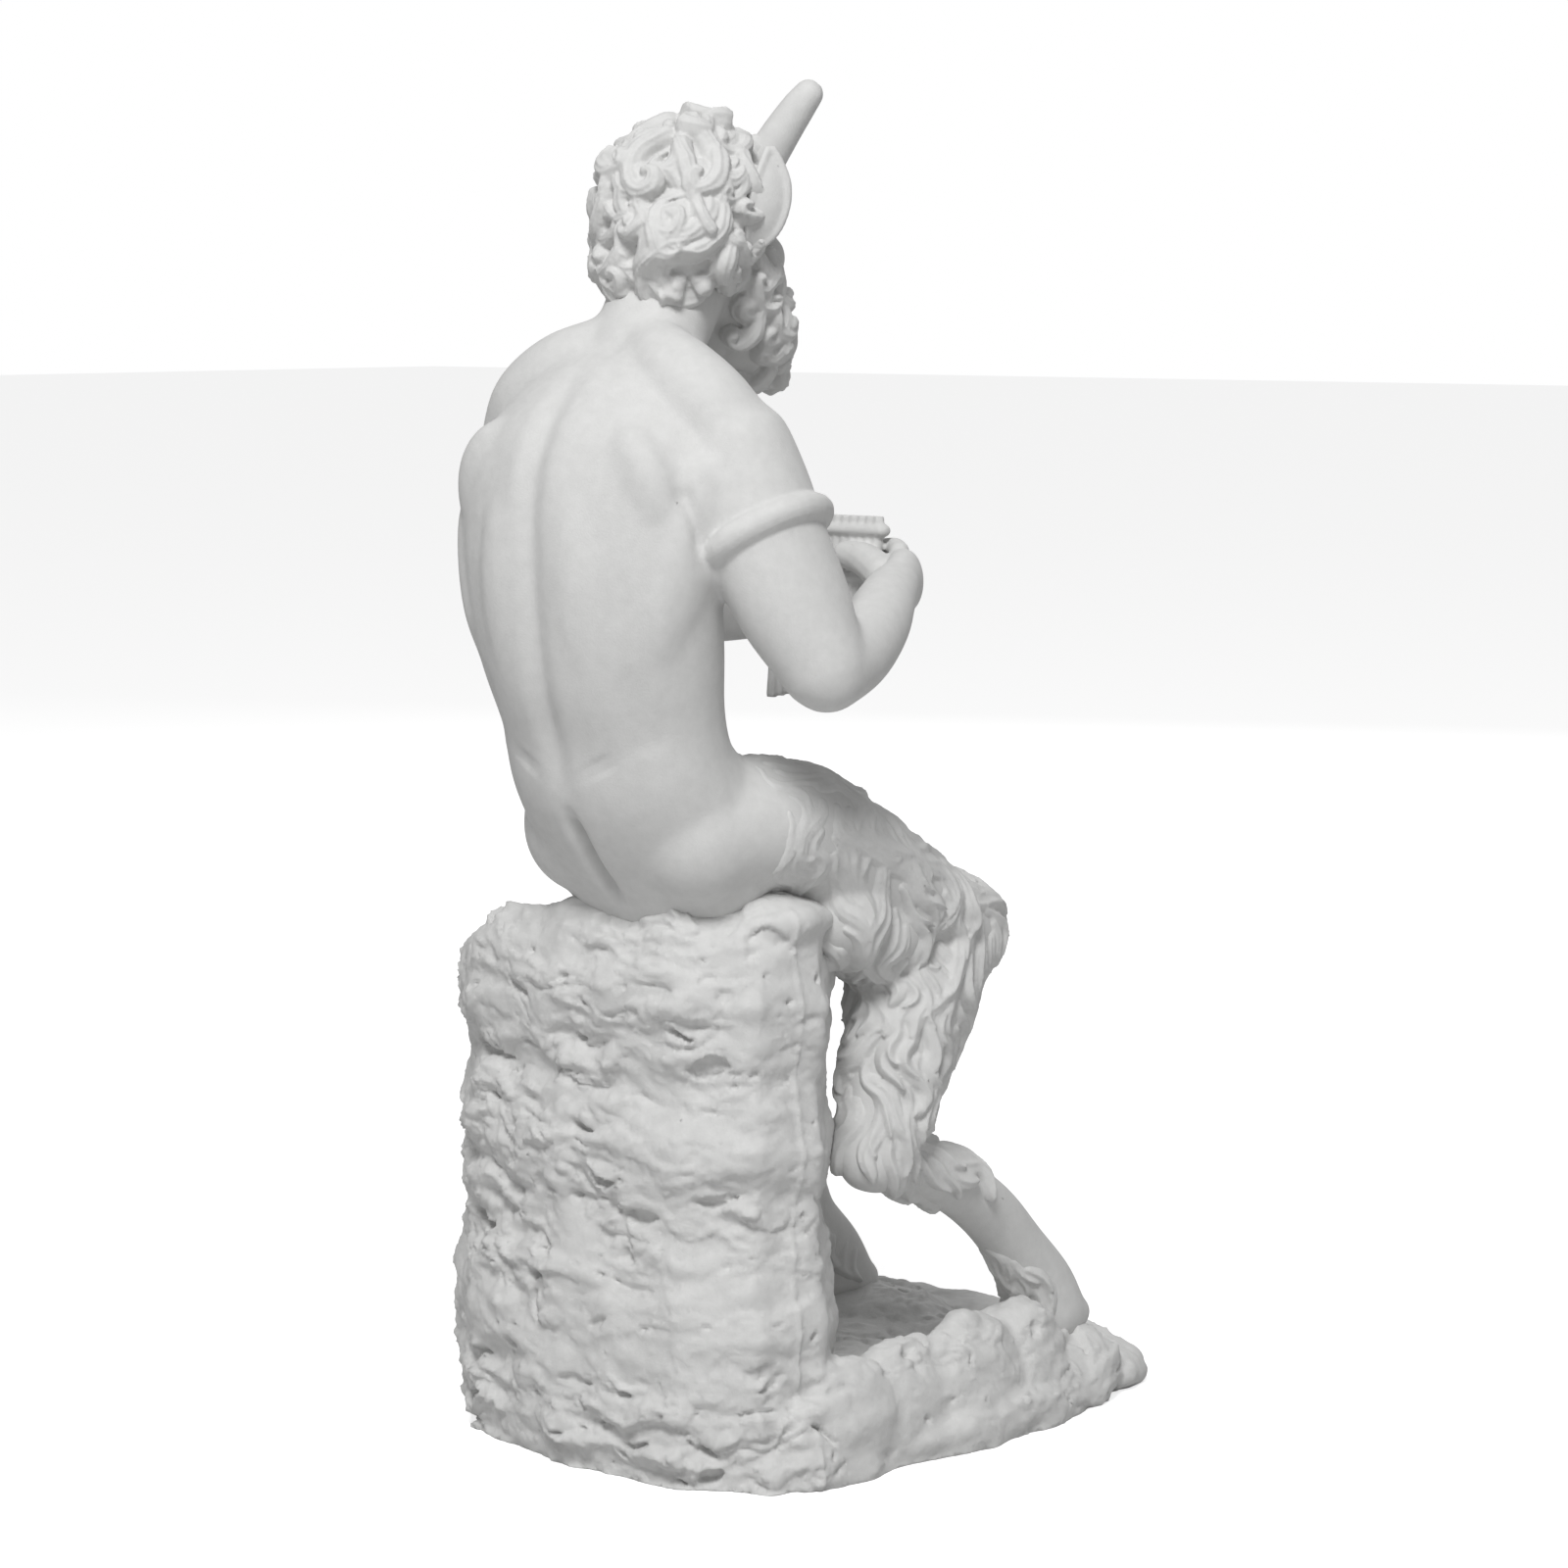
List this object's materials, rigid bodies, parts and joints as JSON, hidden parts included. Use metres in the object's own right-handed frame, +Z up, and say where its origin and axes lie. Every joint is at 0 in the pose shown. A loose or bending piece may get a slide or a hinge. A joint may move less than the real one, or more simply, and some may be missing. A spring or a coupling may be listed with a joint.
{
  "type": "pan statue",
  "caption": "Seated goat-legged piper with horns, curled beard and reed pipes, cast in one with a rough rock seat and ledge.",
  "frame": {"origin": "on the flat underside, below the middle of the figure at its hips", "axes": "+Z up, +X to the figure's left, +Y to its back, so it faces -Y"},
  "size_m": [0.171, 0.2392, 0.403],
  "materials": {
    "plaster": "matt white cast plaster"
  },
  "bodies": {
    "root": {"pan_statue": "plaster"}
  },
  "joints": []
}
